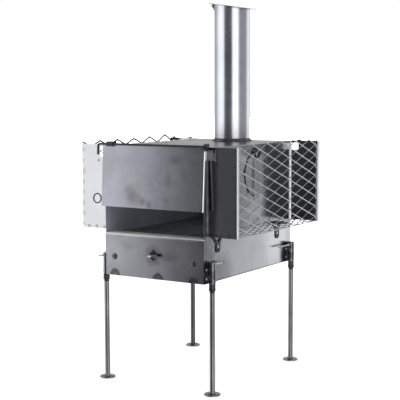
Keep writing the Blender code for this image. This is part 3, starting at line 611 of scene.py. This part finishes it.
# ------------------------------------------------------------------ leg sockets, screws, legs
SCREWS = {(1, -1): (1, 62.0), (1, 1): (-1, 84.0), (-1, -1): (-1, 36.0), (-1, 1): (1, 35.5)}
for sx, xw in ((-1, "left"), (1, "right")):
    for sy, yw, ys_ in ((-1, "front", "f"), (1, "rear", "r")):
        tag, key = f"{yw}_{xw}", ys_ + xw[0]
        cx, cy = sx * LEG_X, sy * LEG_Y
        away, reach = SCREWS[(sx, sy)]
        tube = turned((cx, cy, 0), "z", [(342, 10.0), (342.7, 10.65), (407.3, 10.65), (408, 10.0), (408, 8.7), (407.6, 8.5), (342.4, 8.5), (342, 8.7)], 48, closed=True)
        # painted light: on the front-left leg the tube above z 352, the plate above z 346 and the welds take the plain
        # grey sheet, lit copies of the black parts
        piece(f"socket_tube_{tag}", "stove_body", M["tube"], tube, nodes=[f"leg_socket_{tag}"],
              extra=(M["plain"], lambda c, n, k=key: k == "fl" and c.z > 352 and n.x > -0.8))
        piece(f"socket_plate_{tag}", "stove_body", M["black"],
              mirror_x(box(185.3, 188.5, cy - (28.5 if sy < 0 else 21.5), cy + 8.5, 342, 408), sx), bevel=0.7,
              cut=[rod((sx * 187, cy - 15.0, z), "x", -8, 8, 4.2, 28) for z in (385, 357)],
              extra=(M["plain"], lambda c, n, k=key: k == "fl" and c.z > 346))
        # painted light: light discs just behind the plate holes stand for the lit panel seen through them
        piece(f"socket_hole_back_{tag}", "stove_body", M["ledge"],
              merged([rod((sx * 186.7, cy - 15.0, z), "x", -1.1, 1.1, 4.0, 28, edge=0.3) for z in (385, 357)]))
        piece(f"socket_boss_{tag}", "stove_body", M["zinc"],
              turned((cx, cy, 400), "y", [(away * 10.4, 5.2), (away * 10.9, 5.7), (away * 16.4, 5.7), (away * 17.0, 5.2)], 6), sharp=20)
        welds = []
        for dy in (-9.2, 9.2):
            welds.append(bead([(sx * 189.6, cy + dy, z) for z in (346, 375, 404)], 1.6, seed=int(abs(dy) + 5 * sx + cy)))
        for z in (342.4, 407.6):
            welds.append(bead([(sx * 186.2, cy - 18, z), (sx * 186.2, cy + 7, z)], 1.2, seed=int(z)))
        piece(f"socket_weld_{tag}", "stove_body", M["plain" if key == "fl" else "weld"], merged(welds))
        d = away
        piece(f"thumb_screw_{tag}", f"clamp_{key}", M["screw_rr" if key == "rr" else "zinc"],
              merged([turned((cx, cy, 400), "y", [(d * 8.4, 1.8)] + [(d * (9 + 0.5 * i), 2.5 if i % 2 else 2.1) for i in range(int((reach - 12) * 2))]
                             + [(d * (reach - 3), 2.4), (d * (reach - 0.5), 2.4), (d * reach, 1.9)], 16),
                      rod((cx, cy + d * (reach - 4), 400), "x", -10, 10, 1.6, 16, edge=0.5)]),
              nodes=[f"clamp_screw_{tag}"], sharp=50)
        prof = [(4.3, 11.4), (6, 11.0), (8.4, 9.6), (10.5, 8.5), (13, 8.0), (300, 8.0), (314, 8.05), (319, 8.2), (320, 9.6), (321, 10.3),
                (326, 10.5), (327, 10.2), (329, 10.0), (339, 10.0), (341, 9.9), (341.7, 9.4), (341.7, 8.0), (403.4, 8.0), (404, 7.4)]
        piece(f"leg_bar_{tag}", f"leg_{key}", M["leg_" + key if key in ("rl", "fl") else "leg"], turned((cx, cy, 0), "z", prof, 40), nodes=[f"leg_{tag}"], sharp=50,
              extra=(M["black"], lambda c, n: c.z > 312))
        piece(f"foot_disc_{tag}", f"leg_{key}", M["leg"],
              turned((cx, cy, 0), "z", [(0, 24.3), (0.5, 24.9), (1.2, 25), (2.6, 25), (3.4, 24.7), (3.9, 23.8), (4.15, 20), (4.6, 12), (4.6, 3)], 64),
              nodes=[f"foot_{tag}"], sharp=50)
        piece(f"foot_weld_{tag}", f"leg_{key}", M["weld"],
              bead([(cx + 10.2 * math.cos(t), cy + 10.2 * math.sin(t), 5.0) for t in np.linspace(0, 6.2, 40)], 1.9, seed=int(cx + cy)))

# ------------------------------------------------------------------ hooks and lugs on the walls
for side, word in ((-1, "left"), (1, "right")):
    for y, z0, yw in ((-201.0, 429.0, "front"), (178.0, 428.0, "rear")):
        low = [(y + 11 * math.sin(t), z0 + 10 - 10 * math.cos(t)) for t in np.linspace(-math.pi / 2, math.pi / 2, 14)]
        out = low + [(y + 11, 459), (y + 13, 463), (y + 31, 477), (y + 32, 479), (y + 32, 482.2), (y - 32, 482.2), (y - 32, 479),
                     (y - 31, 477), (y - 13, 463), (y - 11, 459)]
        piece(f"hook_{yw}_{word}", "stove_body", M["black"],
              mirror_x(prism(out, "x", 185.3, 188.5), side), nodes=[f"basket_hook_{yw}_{word}"], bevel=0.5,
              add=[mirror_x(prism(folded([(186.9, 474), (186.9, 480.6), (216, 480.6)], 2.8, 1.8), "y", y - 27.5, y + 27.5), side)],
              cut=[mirror_x(prism([(y, 461), (y + 18, 476.5), (y - 18, 476.5)], "x", 183, 193), side),
                   mirror_x(prism([(y + 4.6 * math.sin(t), z0 + 15.5 - 9.5 * math.cos(t)) for t in np.radians(range(0, 360, 12))], "x", 183, 193), side)])
        # painted highlight: a light disc behind the hook's keyhole
        piece(f"hook_slot_back_{yw}_{word}", "stove_body", M["ledge"],
              mirror_x(prism([(y + 3.9 * math.sin(t), z0 + 18.5 - 5.6 * math.cos(t)) for t in np.radians(range(0, 360, 12))], "x", 185.2, 187.7), side), bevel=0.3)
        piece(f"hook_weld_{yw}_{word}", "stove_body", M["weld"],
              merged([bead([(side * 186, y + s * 11.2, z0 + 12), (side * 186, y + s * 11.2, 457), (side * 186, y + s * 24, 470.5)], 1.3, seed=int(y + 3 * s + 400)) for s in (-1, 1)]))
    for y0, y1, z0, hole, yw in ((-266.0, -215.0, 713.0, (-226.0, 737.0), "front"), (205.0, 277.0, 722.0, (231.0, 736.0), "rear")):
        # the front lugs take the dark lug sheet, painted shade
        piece(f"lug_{yw}_{word}", "stove_body", M["lug" if yw == "front" else "plain"],
              mirror_x(prism([(y0, z0), (y1, z0), (y1, 738), (y1 - 1.2, 742), (y1 - 4, 744.6), (y1 - 8, 745.4), (y0 + 4, 745.4), (y0 + 1, 744), (y0, 741)], "x", 185.3, 188.3), side),
              nodes=[f"basket_lug_{yw}_{word}"], bevel=0.6, cut=[rod((side * 187, hole[0], hole[1]), "x", -6, 6, 3.6, 28)])
        piece(f"lug_weld_{yw}_{word}", "stove_body", M["weld"],
              bead([(side * 186, y0 + 6, z0 - 0.3), (side * 186, y1 - 6, z0 - 0.3)], 1.6, seed=int(y0 + 500)))

# ------------------------------------------------------------------ door
DOOR_LEAN = math.radians(3.5)


def leaned(shape):
    """The door hangs slightly open: everything on it is swung out about the rod."""
    verts, faces = shape
    c, s = math.cos(DOOR_LEAN), math.sin(DOOR_LEAN)
    return [(x, ROD_Y + (y - ROD_Y) * c + (z - ROD_Z) * s, ROD_Z - (y - ROD_Y) * s + (z - ROD_Z) * c) for x, y, z in verts], faces


piece("door_leaf", "door", M["door"],
      leaned(prism(folded([(-188.6, -268.0), (-188.6, -278.5), (188.6, -278.5), (188.6, -268.0)], 2.8, 3.2), "z", Z_DOOR, 754)),
      # painted highlight on the door's side flanges
      nodes=["door_panel"], bevel=0.55, extra=(M["edge_highlight"], lambda c, n: abs(n.x) > 0.55),
      cut=[leaned(box(-173.0, -141.5, -287, -272, 747.5, 760)), leaned(box(-195, -183.6, -276.6, -262, 743, 760)), leaned(box(183.6, 195, -276.6, -262, 743, 760))])
bend = [(-196 + 7 * math.sin(t), ROD_Y, ROD_Z - 7 + 7 * math.cos(t)) for t in np.radians(np.linspace(0, -90, 12))]
piece("rod_bar", "door", M["deep"],
      leaned(sweep([(198, ROD_Y, ROD_Z), (197.4, ROD_Y, ROD_Z), (100, ROD_Y, ROD_Z), (0, ROD_Y, ROD_Z), (-100, ROD_Y, ROD_Z)] + bend + [(-203, ROD_Y, 740), (-203, ROD_Y, 721.8), (-203, ROD_Y, 721)],
                   [3.0, 3.5, 3.5, 3.5, 3.5] + [3.5] * 12 + [3.5, 3.5, 2.9], 24)), nodes=["door_rod"], sharp=50)
rod_tacks = [bead([(x - 9, -280.6, 753.0), (x + 9, -280.6, 753.0)], 1.5, seed=k) for k, x in enumerate((-120, -40, 40, 120, 170))]
piece("rod_tacks", "door", M["weld"], merged(rod_tacks))
piece("ring_wire", "door", M["black"], leaned(torus((-208, -275.5, 583), "y", 14.6, 2.1)), nodes=["door_ring"])
piece("ring_tack", "door", M["weld"], leaned(blob((-191.9, -275.5, 583), 2.6, 2.4, 4.0)))
piece("bracket_left", "stove_body", M["deep"],
      prism([(-266, 750.3), (-280.3, 750.3)] + [(ROD_Y + 5.8 * math.cos(t), ROD_Z + 5.8 * math.sin(t)) for t in np.radians(np.linspace(-50, -245, 20))]
            + [(-284.5, 763), (-268, 763), (-266, 761)], "x", -170, -145),
      nodes=["door_bracket_left"], bevel=0.5, cut=[rod((-157, ROD_Y, ROD_Z), "x", -30, 30, 3.7, 32)])
piece("bracket_right", "stove_body", M["deep"],
      prism([(-263, 744), (-267, 741), (-281, 741), (-291, 749), (-291.4, 756), (-290, 760.5), (-287, 763), (-263, 763)], "x", 190.8, 195.3),
      nodes=["door_bracket_right"], bevel=0.6, cut=[rod((193, ROD_Y, ROD_Z), "x", -12, 12, 3.7, 32)])
piece("bracket_right_foot", "stove_body", M["black"], box(186.3, 191.5, -275, -264, 746.2, 750), bevel=0.5)

# ------------------------------------------------------------------ ash drawer front, tray, latch
piece("lower_front", "ash_drawer", M["front"],
      prism(folded([(-276.3, Z_BOTTOM), (-276.3, 474.5), (-229, 474.5)], 3.0, 3.0), "x", -HALF_W, HALF_W), nodes=["drawer_front"], bevel=0.5,
      # painted highlight on the ledge's upward faces
      extra=(M["ledge"], lambda c, n: n.z > 0.5 and c.z > 400),
      cut=[mirror_x(box(181.5, 187, -274.6, -220, 440, 480), s) for s in (-1, 1)] + [rod((0, -276, 415), "y", -10, 10, 3.6, 24)])
piece("tray", "ash_drawer", M["soot"], box(-172, 172, -274.4, 255, 344.4, 410), nodes=["drawer_tray"], bevel=1.0,
      cut=[box(-170, 170, -272.4, 253, 346.4, 420)])
for side, word in ((-1, "left"), (1, "right")):
    piece(f"rivet_{word}", "ash_drawer", M["rivet"],
          turned((side * 148, 0, 401), "y", [(-281.1, 1.5), (-280.9, 4.5), (-280.2, 7.2), (-279.2, 8.9), (-278.2, 9.5), (-277.9, 9.5)], 40),
          nodes=[f"drawer_rivet_{word}"], sharp=60)
piece("latch_backing", "ash_drawer", M["deep"],
      prism([(-17.5, 415), (0, 397.5), (17.5, 415), (0, 432.5)], "y", -281.1, -278.1), nodes=["latch_plate"], bevel=0.9, cut=[rod((0, -280, 415), "y", -10, 10, 3.6, 24)])
thread = [(-312.0, 1.8), (-311.4, 2.4)] + [(-311.0 + 0.55 * i, 3.0 if i % 2 else 2.55) for i in range(50)] + [(-277.0, 3.0)]
piece("stud_thread", "ash_drawer", M["zinc"], turned((0, 0, 415), "y", thread, 20), nodes=["latch_stud"], sharp=50)
nut_y = -281.4
wing_shapes = []
for s in (-1, 1):
    loops = []
    for f in np.linspace(0, 1, 12):
        cx_ = 4.0 + 19.0 * f
        cz_ = 415 - 0.2 + 0.4 * f
        hh = 3.8 + 0.8 * math.sin(math.pi * f) - 1.2 * max(0.0, f - 0.85) / 0.15
        tt = 2.0 - 0.9 * f
        lo = []
        for a in np.linspace(0, 2 * math.pi, 16, endpoint=False):
            lo.append((s * (cx_ + (2.0 * f) * math.cos(a) * 0.0), nut_y - 7.5 + tt * math.sin(a), cz_ + hh * math.cos(a)))
        loops.append(lo)
    wing_shapes.append(rings(loops))
    wing_shapes.append(blob((s * 22.6, nut_y - 7.5, 415.2), 2.3, 1.5, 2.9, 16))
piece("wing_nut_body", "wing_nut", M["nut"],
      turned((0, 0, 415), "y", [(nut_y - 12, 3.3), (nut_y - 12, 4.6), (nut_y - 11.4, 5.0), (nut_y - 5, 5.8), (nut_y - 0.8, 7.0), (nut_y, 6.6), (nut_y, 3.3)], 32, closed=True), nodes=["wing_nut"])
piece("wing_nut_wings", "wing_nut", M["nut"], merged(wing_shapes), sharp=60)

# ------------------------------------------------------------------ side baskets
ys = [-257.6, -214.0] + [-167.0 + 47.0 * i for i in range(10)] + [270.6]
zs = [758.0 - 17.15 * (16 - j) for j in range(17)]
xs = [194.4 + 18.0 * i for i in range(6)]


def expanded(us, vs, at, normal, flat_top):
    """Expanded metal: long falling strands in front, rising strands behind, a flattened bond at each crossing."""
    front, back = [], []
    nu, nv = len(us) - 1, len(vs) - 1
    for s in range(0, nu + nv + 1, 2):
        run = [(k, s - k) for k in range(nu + 1) if 0 <= s - k <= nv]
        if len(run) > 1:
            front.append(strand([at(us[k], vs[j], 0.5) for k, j in run], 3.2, 1.8, 22, normal))
    for s in range(-nu - (nu % 2), nv + 1, 2):
        run = [(k, k + s) for k in range(nu + 1) if 0 <= k + s <= nv]
        if len(run) > 1:
            back.append(strand([at(us[k], vs[j], -0.5) for k, j in run], 2.9, 1.6, -26, normal))
    for k in range(nu + 1):
        for j in range(nv + 1):
            if (k + j) % 2 or (j == nv and not flat_top and k in (0, nu)):
                continue
            du = 5.0
            c = np.array(at(us[k], vs[j], 0.1), float)
            e = np.array(at(us[k] + 1.0, vs[j], 0.1), float) - c
            ends = [c - e * du, c - e * du * 0.55, c, c + e * du * 0.55, c + e * du]
            widths, thick = [1.0, 2.3, 2.9, 2.3, 1.0], [0.8, 1.1, 1.3, 1.1, 0.8]
            if k == 0:
                ends, widths, thick = ends[2:], widths[2:], thick[2:]
            if k == nu:
                ends, widths, thick = ends[:3], widths[:3], thick[:3]
            n_ = np.array(normal, float)
            side = np.cross(n_, e)
            loops = []
            for p, wv, tv in zip(ends, widths, thick):
                loops.append([tuple(p + side * wv * math.cos(a) + n_ * tv * math.sin(a)) for a in np.linspace(0, 2 * math.pi, 8, endpoint=False)])
            front.append(rings(loops))
    front.append(strand([at(us[0] + 0.6, vs[0], 0), at(us[0] + 0.6, vs[-1 if flat_top else -2], 0)], 2.6, 2.0, 0, normal))
    front.append(strand([at(us[-1] - 0.6, vs[0], 0), at(us[-1] - 0.6, vs[-1 if flat_top else -2], 0)], 2.6, 2.0, 0, normal))
    front.append(strand([at(us[0], vs[0] + 0.4, 0), at(us[-1], vs[0] + 0.4, 0)], 2.8, 2.0, 0, normal))
    if flat_top:
        front.append(strand([at(us[0], vs[-1], 0), at(us[-1], vs[-1], 0)], 2.8, 2.0, 0, normal))
    return merged(front), merged(back)


def crest_lift(y):
    """The left basket's top row of half diamonds is pulled up a little towards the rear."""
    return float(np.interp(y, (70, 210, 235, 262), (0, 6, 6, 0)))


for side, word in ((-1, "left"), (1, "right")):
    body = f"basket_{word}"
    for yw, path, low in (("front", [(188.8, -259), (289, -259), (289, -250)], 712), ("rear", [(188.8, 272), (289, 272), (289, 290)], 720)):
        piece(f"basket_sheet_{yw}_{word}", body, M["basket_" + word[0]],
              mirror_x(prism(folded(path, 2.0, 2.2), "z", 483, 752), side), nodes=[f"basket_plate_{yw}_{word}"], bevel=0.4,
              cut=[mirror_x(box(180, 216, path[0][1] - 5, path[0][1] + 5, low, 744), side)],
              # painted shade on the right basket's inner faces; painted highlight on the outer flanges
              extra=[(M["basket_in"], lambda c, n, q=yw, s=side: s > 0 and (n.y < -0.5 if q == "rear" else n.y > 0.5)),
                     (M["edge_highlight"], lambda c, n: abs(n.x) > 0.5 and abs(c.x) > 285)])
        tacks = []
        for i in range(8):
            yy = -257.0 if yw == "front" else 270.4
            tacks.append(blob((side * 286.2, yy + (2 if yw == "front" else -2), 486 + 34.3 * i), 2.4, 3.0, 3.6))
        for x in (200, 236, 272):
            tacks.append(blob((side * x, (-257.6 if yw == "front" else 270.2), 485.4), 4.0, 2.2, 1.8))
        if yw == "rear":
            tacks.append(blob((side * 219.0, 272.0, 752.6), 8.0, 2.4, 3.4))
            tacks.append(blob((side * 285.5, 269.5, 488.0), 4.2, 4.2, 4.6))
            tacks.append(blob((side * 284.5, 271.0, 749.4), 4.6, 3.0, 3.0))
            piece(f"basket_clip_{word}", body, M["deep"],
                  mirror_x(box(279.5, 284.7, 241, 270.7, 743.5, 753.5), side), nodes=[f"basket_clip_{word}"], bevel=1.0, segs=3)
        piece(f"basket_tacks_{yw}_{word}", body, M["weld"], merged(tacks), sharp=60)
    front, back = expanded(ys, zs, lambda u, v, t, s=side: (s * (286.5 + t), u, v + (crest_lift(u) if s < 0 and v > 750 else 0)), (side, 0, 0), False)
    dark_top = (M["bars_dark"], lambda c, n, s=side: s < 0 and c.z > 738)
    piece(f"basket_grid_{word}", body, M["bars"], front, nodes=[f"basket_mesh_{word}"], sharp=30, extra=dark_top)
    piece(f"basket_grid_rising_{word}", body, M["bars_dim"], back, sharp=30, extra=dark_top)
    if side < 0:
        knots = [zs[15 + (k % 2 == 0)] + (crest_lift(ys[k]) - 1.4 if k % 2 == 0 else 0) for k in range(len(ys))]
        crest = []
        for k in range(len(ys) - 1):
            for f in np.linspace(0, 1, 8, endpoint=False):
                g = 0.45 * f + 0.55 * (0.5 - 0.5 * math.cos(math.pi * f))
                crest.append((-286.5, ys[k] + (ys[k + 1] - ys[k]) * f, knots[k] + (knots[k + 1] - knots[k]) * g))
        crest.append((-286.5, ys[-1], knots[-1]))
        piece("basket_crest_left", body, M["bars_dark"], sweep(crest, 2.6, 12), sharp=60)
    front, back = expanded(ys, xs, lambda u, v, t, s=side: (s * v, u, 484.4 - t), (0, 0, -1), True)
    piece(f"basket_base_{word}", body, M["bars"], front, nodes=[f"basket_floor_{word}"], sharp=30)
    piece(f"basket_base_rising_{word}", body, M["bars_dim"], back, sharp=30)

# ------------------------------------------------------------------ chimney and cap
N = 144
base_z = Z_TOP + 8.3


def rim(r, lift=0.0):
    return [(x, y, PIPE_TOP + PIPE_SLOPE * x + lift) for x, y, _ in circle((0, PIPE_Y, 0), *FRAMES["z"], r, N)]


def ring_at(r, z):
    return circle((0, PIPE_Y, z), *FRAMES["z"], r, N)


piece("pipe", "chimney", M["pipe"],
      rings([ring_at(59.6, base_z), ring_at(60, base_z + 0.5), rim(60, -0.5), rim(59.6), rim(58.9), rim(58.5, -0.4), ring_at(58.5, base_z + 0.4), ring_at(58.9, base_z)], closed=True),
      nodes=["chimney_pipe"], extra=(M["soot"], lambda c, n: n.x * c.x + n.y * (c.y - 209) < -1))
piece("pipe_seam", "chimney", M["pipe"],
      sweep([(0, PIPE_Y + 59.7, base_z + 1), (0, PIPE_Y + 59.7, PIPE_TOP - 1)], 0.9, 10))
arc = [(-71 + 5 * math.cos(t), 1207.5 + 5 * math.sin(t)) for t in np.radians(np.linspace(90, 270, 16))]
ear = arc + [(-64, 1190), (-60.8, 1190), (-60.8, 1210.3)]
for k, (a, b) in enumerate(((-11, -8), (8, 11))):
    piece(f"cap_ear_{k}", "chimney", M["black"], prism(ear, "y", PIPE_Y + a, PIPE_Y + b), bevel=0.35,
          nodes=["cap_bracket"] if k == 0 else [])
piece("cap_strap", "chimney", M["black"], box(-63.8, -60.5, PIPE_Y - 11.5, PIPE_Y + 11.5, 1176, 1206), bevel=0.7)
piece("cap_pin", "chimney", M["zinc"], rod((-71, PIPE_Y, 1207.5), "y", -12.6, 12.6, 2.4, 24, edge=0.6))
tilt = math.atan(-PIPE_SLOPE)
nrm = np.array((math.sin(tilt), 0, math.cos(tilt)))
along = np.array((math.cos(tilt), 0, -math.sin(tilt)))
disc_c = np.array((0, PIPE_Y, PIPE_TOP)) + nrm * 0.3
piece("cap_disc", "rain_cap", M["cap"],
      rings([circle(disc_c + nrm * s, along, (0, 1, 0), r, N) for s, r in ((0, 79.3), (0.3, 79.8), (0.8, 80), (1.3, 80), (1.7, 79.8), (2, 79.3))]), nodes=["rain_cap"])
piece("cap_knuckle", "rain_cap", M["black"],
      turned((-71, PIPE_Y, 1207.5), "y", [(-7.5, 4.0), (-7.1, 4.4), (7.1, 4.4), (7.5, 4.0), (7.5, 2.5), (-7.5, 2.5)], 32, closed=True),
      add=[box(-73.2, -68.8, PIPE_Y - 7.4, PIPE_Y + 7.4, 1211.2, 1214.0)])

# ------------------------------------------------------------------ camera
cam_data = bpy.data.cameras.new("view")
cam_data.sensor_width = 36.0
cam_data.lens = 96.21
cam_data.clip_end = 100.0
cam = bpy.data.objects.new("view", cam_data)
cam.matrix_world = (Matrix.Translation((1.8705, -2.9507 + 0.011, 0.91786)) @ Matrix.Rotation(math.radians(32.445), 4, "Z")
                    @ Matrix.Rotation(math.radians(84.193), 4, "X") @ Matrix.Rotation(math.radians(-0.173), 4, "Z"))
bpy.context.scene.collection.objects.link(cam)
bpy.context.scene.camera = cam
bpy.context.scene.view_settings.view_transform = "Standard"

# ------------------------------------------------------------------ studio: floor, ring of soft panels, key panel
floor_net = Net("studio_floor")
speck = floor_net.noise(3.0, detail=4.0)
floor_net.link(floor_net.mix(floor_net.rng(speck, 0.3, 0.7, 0, 1), (0.86, 0.86, 0.865), (0.90, 0.90, 0.90)), floor_net.bsdf.inputs["Base Color"])
floor_net.bsdf.inputs["Roughness"].default_value = 0.9
floor_net.bsdf.inputs["Emission Color"].default_value = (1, 1, 1, 1)
far = floor_net.spot((0, -11, 0), 1900, 2500)
floor_net.link(floor_net.rng(far, 0, 1, 1.2, 0.42), floor_net.bsdf.inputs["Emission Strength"])
bpy.ops.mesh.primitive_plane_add(size=60, location=(0, 0, -0.0005))
floor = bpy.context.object
floor.name = "floor"
floor.data.materials.append(floor_net.mat)
floor.visible_glossy = False

# radiance of the surrounding panels against azimuth (0 = straight in front of the stove, + towards its right side)
AZ = [(-180, 0.85), (-150, 0.75), (-110, 0.55), (-95, 0.62), (-80, 1.1), (-71, 1.2), (-65, 0.13), (24, 0.11), (31, 0.4), (37, 1.9), (68, 1.9),
      (78, 0.7), (84, 0.40), (124, 0.42), (132, 0.62), (139, 0.52), (144, 0.85), (150, 1.55), (160, 1.45), (180, 0.85)]


def glow(az):
    return float(np.interp((az + 180) % 360 - 180, [a for a, _ in AZ], [g for _, g in AZ]))


def emitter(name, colour=(1, 1, 1), attribute=None, strength=1.0):
    mat = bpy.data.materials.new(name)
    mat.use_nodes = True
    t = mat.node_tree
    t.nodes.remove(t.nodes["Principled BSDF"])
    em = t.nodes.new("ShaderNodeEmission")
    em.inputs["Color"].default_value = (*colour, 1)
    em.inputs["Strength"].default_value = strength
    if attribute:
        at = t.nodes.new("ShaderNodeAttribute")
        at.attribute_name = attribute
        t.links.new(at.outputs["Fac"], em.inputs["Strength"])
    t.links.new(em.outputs[0], t.nodes["Material Output"].inputs["Surface"])
    return mat


R_WALL, H_WALL = 2.6, 2.5
steps = 240
verts, faces, levels = [], [], []
for i in range(steps + 1):
    az = -180 + 360 * i / steps
    a = math.radians(az)
    x, y = R_WALL * math.sin(a), -R_WALL * math.cos(a) + 0.1
    verts += [(x, y, -3.0), (x, y, H_WALL)]
    levels += [glow(az + 0.0001 if i < steps else az - 0.0001)] * 2
for i in range(steps):
    k = 2 * i
    faces.append((k, k + 2, k + 3, k + 1))
wall_mesh = bpy.data.meshes.new("studio_ring")
wall_mesh.from_pydata(verts, [], faces)
attr = wall_mesh.attributes.new("glow", "FLOAT", "POINT")
attr.data.foreach_set("value", levels)
wall_mesh.materials.append(emitter("studio_ring", attribute="glow"))
wall = bpy.data.objects.new("studio_ring", wall_mesh)
bpy.context.scene.collection.objects.link(wall)
wall.visible_camera = False
wall.visible_shadow = False


def panel(name, a, b, z0, z1, levels):
    """A soft panel standing between two floor points; levels are (fraction along, radiance)."""
    verts, faces, shine = [], [], []
    for k, (f, level) in enumerate(levels):
        x, y = a[0] + (b[0] - a[0]) * f, a[1] + (b[1] - a[1]) * f
        verts += [(x, y, z0), (x, y, z1)]
        shine += [level, level]
        if k:
            faces.append((2 * k - 2, 2 * k, 2 * k + 1, 2 * k - 1))
    mesh = bpy.data.meshes.new(name)
    mesh.from_pydata(verts, [], faces)
    attr = mesh.attributes.new("glow", "FLOAT", "POINT")
    attr.data.foreach_set("value", shine)
    mesh.materials.append(emitter(name, attribute="glow"))
    obj = bpy.data.objects.new(name, mesh)
    bpy.context.scene.collection.objects.link(obj)
    obj.visible_camera = False
    obj.visible_shadow = False
    return obj


panel("key_panel", (-0.42, -0.98), (-1.40, -0.40), -0.8, 2.0, [(0.0, 0.5), (0.09, 1.3), (0.2, 1.6), (1.0, 1.6)])

# a faint fill inside the firebox, so its far wall reads as grey sheet
fill_data = bpy.data.lights.new("fire_fill", "AREA")
fill_data.shape = "RECTANGLE"
fill_data.size, fill_data.size_y = 0.30, 0.20
fill_data.energy = 0.19
fill = bpy.data.objects.new("fire_fill", fill_data)
bpy.context.scene.collection.objects.link(fill)
fill.matrix_world = Matrix.Translation((0.165, 0.02, 0.60)) @ Euler((0, math.radians(76), 0)).to_matrix().to_4x4()
fill.visible_camera = False
fill.visible_glossy = False

world = bpy.data.worlds.new("studio_air")
bpy.context.scene.world = world
world.use_nodes = True
world.node_tree.nodes["Background"].inputs["Color"].default_value = (1, 1, 1, 1)
world.node_tree.nodes["Background"].inputs["Strength"].default_value = 1.0
